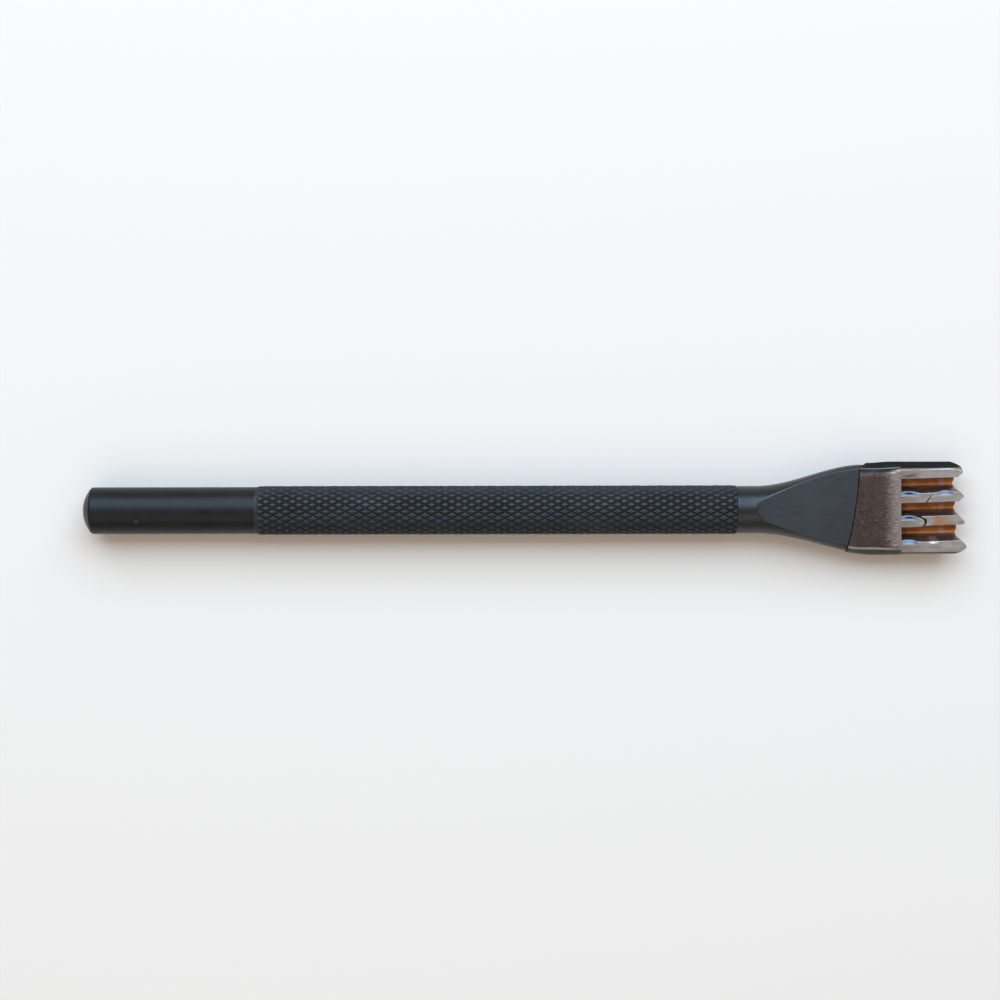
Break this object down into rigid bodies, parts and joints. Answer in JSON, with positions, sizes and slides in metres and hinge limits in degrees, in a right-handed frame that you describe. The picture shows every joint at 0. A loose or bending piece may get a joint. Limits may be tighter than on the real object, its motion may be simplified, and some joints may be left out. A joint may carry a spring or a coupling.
{
  "type": "pricking iron",
  "caption": "Hand tool for marking stitch holes in leather: round knurled grip, flared shoulder and ground head with a row of slanted pointed teeth.",
  "frame": {"origin": "under the middle of the tool's bounding box, on the surface that the tool lies on", "axes": "+X along the bar from the struck end to the tooth tips, +Y across the row of teeth towards tooth 1, +Z out of the front ground face"},
  "size_m": [0.1102, 0.0118, 0.0061],
  "materials": {
    "black_oxide": "satin black oxide over turned steel",
    "black_oxide_knurl": "black oxide over a diamond knurl, crests slightly worn",
    "blued_facet": "blue-black oxide over fine lengthwise grinding",
    "ground_steel": "bare ground steel with a brown tint and lengthwise streaks",
    "tooth_steel": "bare polished steel with small nicks",
    "groove_amber": "steel under a glossy amber protective film"
  },
  "bodies": {
    "root": {"striking_crown": "black_oxide", "plain_shank": "black_oxide", "knurled_grip": "black_oxide_knurl", "neck": "black_oxide", "flared_shoulder": "blued_facet", "ground_head": "ground_steel", "tooth_1": "tooth_steel", "tooth_2": "tooth_steel", "tooth_3": "tooth_steel", "tooth_4": "tooth_steel", "groove_web_1": "groove_amber", "groove_web_2": "groove_amber", "groove_web_3": "groove_amber"}
  },
  "joints": []
}
